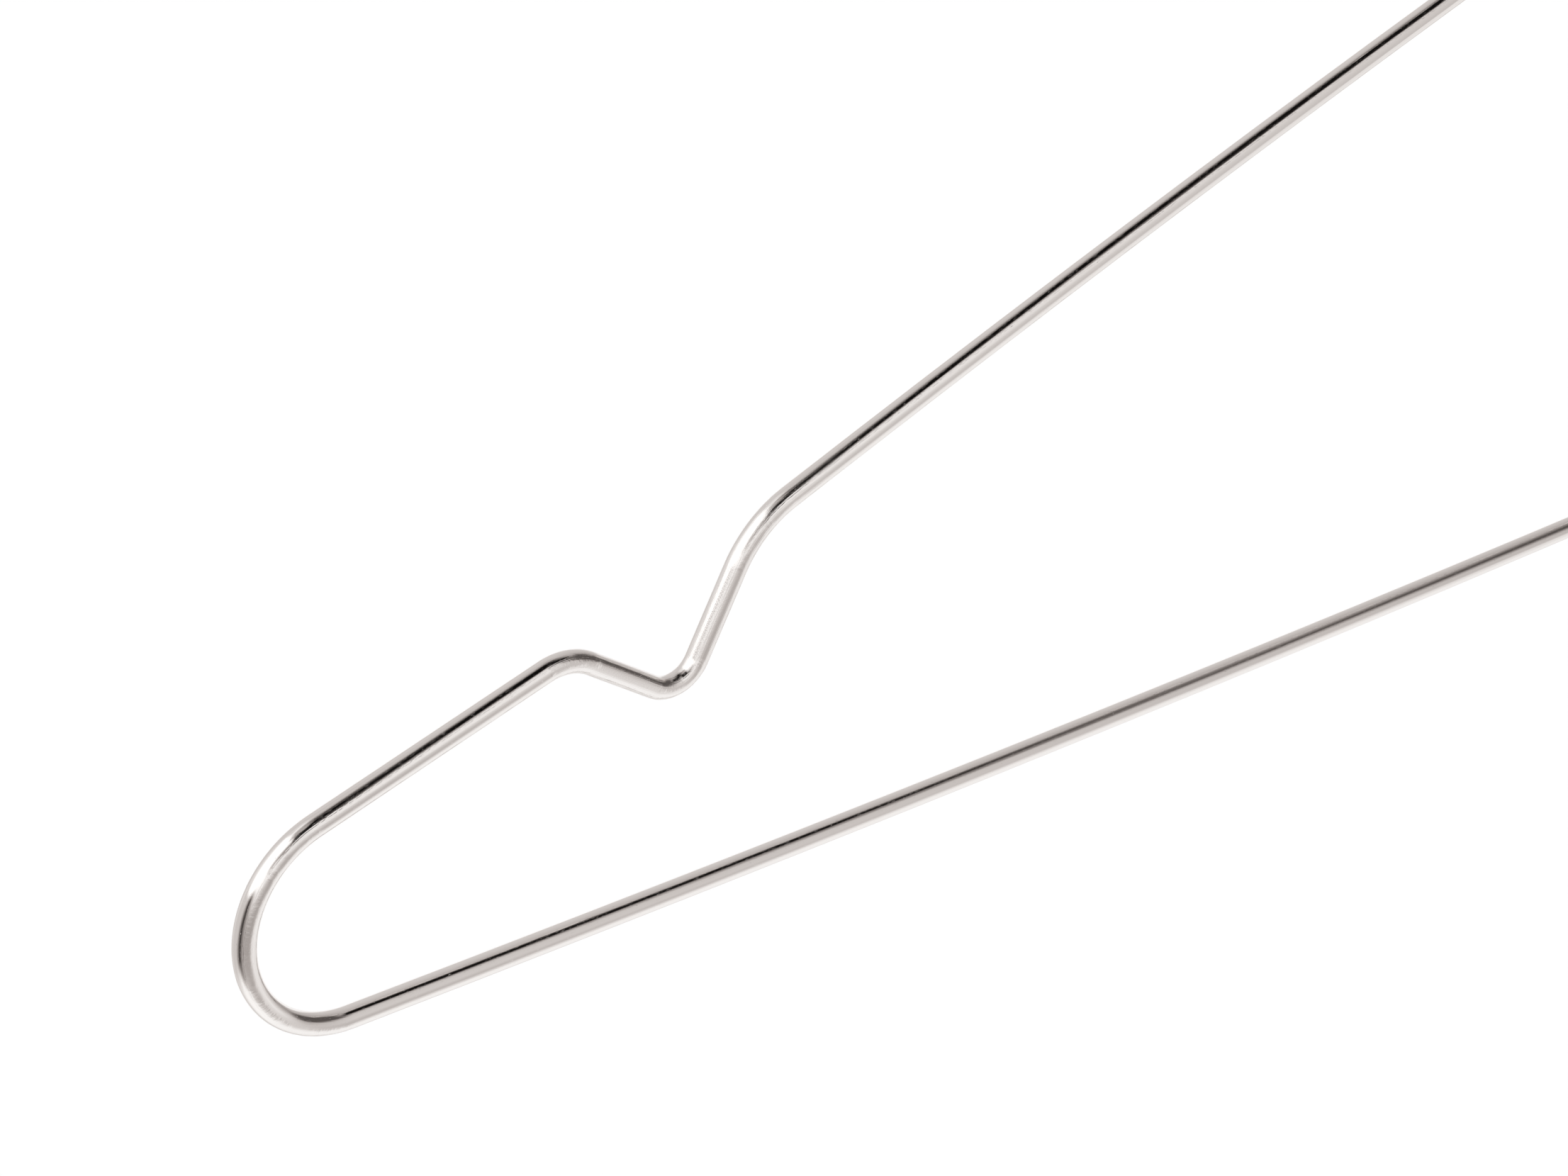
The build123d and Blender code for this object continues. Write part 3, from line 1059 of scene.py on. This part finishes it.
def groove(middle_z):
    """The corners of one turned groove, from its lower lip to its upper lip."""
    return [
        (sleeve_radius, middle_z - groove_width / 2),
        (sleeve_radius - groove_depth, middle_z),
        (sleeve_radius, middle_z + groove_width / 2),
    ]


band_rings = [(sleeve_radius, sleeve_middle_z + height) for height in (-socket_band, socket_band)]
sleeve_profile = [
    (bore_radius + bore_chamfer, sleeve_bottom_z),
    (sleeve_radius - sleeve_chamfer, sleeve_bottom_z),
    (sleeve_radius, sleeve_bottom_z + sleeve_chamfer),
    *groove(sleeve_bottom_z + groove_inset),
    *band_rings,
    *groove(sleeve_top_z - groove_inset),
    (sleeve_radius, sleeve_top_z - sleeve_chamfer),
    (sleeve_radius - sleeve_chamfer, sleeve_top_z),
    (bore_radius + bore_chamfer, sleeve_top_z),
    (bore_radius, sleeve_top_z - bore_chamfer),
    (bore_radius, sleeve_bottom_z + bore_chamfer),
]
sleeve_mesh = bmesh.new()
turn_profile(sleeve_mesh, sleeve_profile, plain=band_rings, closed=True, sides=lathe_sides)
print("The sleeve's blank has", len(sleeve_mesh.faces), "faces")

# %% [markdown]
# Each socket lies along the wire that enters it, so its place comes from the end of the bent
# frame wire. Two cylinders in one mesh are the drill, and a Boolean modifier takes them away.

# %% Sockets of the sleeve


def socket_frame(side):
    """Where one socket's floor is, with its Z axis along the wire and out of the sleeve."""
    outward = Vector((side * cos(radians(neck_climb)), 0.0, -sin(radians(neck_climb))))
    floor_at = Vector((side * socket_floor_reach, 0.0, socket_floor.z))
    return Matrix.Translation(floor_at) @ outward.to_track_quat("Z", "Y").to_matrix().to_4x4()


def drill_sockets(mesh):
    """Cut both sockets out of the sleeve's mesh with a Boolean modifier."""
    bmesh.ops.recalc_face_normals(mesh, faces=mesh.faces)
    drill = bmesh.new()
    drill_radius = frame_wire_radius + socket_clearance
    raised = Matrix.Translation((0.0, 0.0, sleeve_radius / 2 - socket_clearance))
    for side in (-1.0, 1.0):
        bmesh.ops.create_cone(drill, cap_ends=True, segments=ring_sides, depth=sleeve_radius,
                              radius1=drill_radius, radius2=drill_radius,
                              matrix=socket_frame(side) @ raised)
    sleeve_blank = new_object("sleeve_blank", mesh_data("sleeve_blank", mesh))
    socket_drill = new_object("socket_drill", mesh_data("socket_drill", drill))
    cut = sleeve_blank.modifiers.new("sockets", "BOOLEAN")
    cut.object = socket_drill
    cut.operation = "DIFFERENCE"
    cut.solver = "EXACT"
    shown = sleeve_blank.evaluated_get(bpy.context.evaluated_depsgraph_get())
    drilled = bmesh.new()
    drilled.from_mesh(shown.to_mesh())
    shown.to_mesh_clear()
    for thing in (sleeve_blank, socket_drill):
        bpy.data.objects.remove(thing)
    return drilled


add_piece(drill_sockets(sleeve_mesh), "turned_neck_sleeve", sleeve_finish,
          "frame", "neck_sleeve")

# %% Thrust washer and rivet cap
washer_bottom_z = shank_foot_z - washer_thickness
washer_mesh = bmesh.new()
turn_profile(washer_mesh, [
    (spigot_radius + washer_clearance, washer_bottom_z),
    (washer_radius, washer_bottom_z),
    (washer_radius, shank_foot_z),
    (spigot_radius + washer_clearance, shank_foot_z),
], closed=True, sides=lathe_sides)
add_piece(washer_mesh, "stamped_thrust_washer", washer_finish, "hook", "thrust_washer")

cap_mesh = bmesh.new()
turn_profile(cap_mesh, [
    (spigot_radius + cap_clearance, cap_bottom_z),
    (cap_radius - cap_chamfer, cap_bottom_z),
    (cap_radius, cap_bottom_z + cap_chamfer),
    (cap_radius, washer_bottom_z),
    (spigot_radius + cap_clearance, washer_bottom_z),
], closed=True, sides=lathe_sides)
add_piece(cap_mesh, "turned_rivet_cap", cap_finish, "hook", "rivet_cap")

# %% [markdown]
# Where the frame wire enters the sleeve, braze metal has drawn itself into the corner as a
# hollow ring. Its section is spun round the wire's axis as if the sleeve's side were flat, and
# then every vertex slides along the wire until the ring seats on the round side.

# %% Braze fillets
fillet_points = 7


def hollow_section():
    """The concave section of the braze, from the wire out to the sleeve, in (radius, height)."""
    inner = frame_wire_radius + braze_film
    for step in range(fillet_points):
        angle = radians(90.0 * step / (fillet_points - 1))
        yield (inner + braze_leg * (1.0 - cos(angle)), braze_leg * (1.0 - sin(angle)))


def seat_on_sleeve(mesh, frame_at_floor):
    """Slide vertices along the wire so that height zero becomes the sleeve's round side."""
    centre = frame_at_floor.to_translation()
    wire_axis = frame_at_floor.to_3x3() @ Vector((0.0, 0.0, 1.0))
    side_radius = sleeve_radius + braze_film
    for vert in mesh.verts:
        flat = frame_at_floor @ Vector((vert.co.x, vert.co.y, 0.0))
        wall_x = sqrt(side_radius ** 2 - flat.y ** 2) * (1.0 if centre.x > 0.0 else -1.0)
        slide = (wall_x - flat.x) / wire_axis.x
        vert.co = flat + wire_axis * (slide + vert.co.z)


braze_mesh = bmesh.new()
for side in (-1.0, 1.0):
    ring_mesh = bmesh.new()
    section = list(hollow_section()) + [(frame_wire_radius + braze_film, 0.0)]
    turn_profile(ring_mesh, section, plain=section, closed=True)
    seat_on_sleeve(ring_mesh, socket_frame(side))
    ring_data = mesh_data("braze_ring", ring_mesh)
    braze_mesh.from_mesh(ring_data)
    bpy.data.meshes.remove(ring_data)
add_piece(braze_mesh, "flowed_braze_rings", braze_finish, "frame", "braze_fillets")

# %% [markdown]
# Last, the sizes: the size of the frame's box from the first cell is printed.

# %% Sizes, and the end
print("Size of the frame ", [round(b - a, 4) for a, b in zip(cad_low, cad_high)])
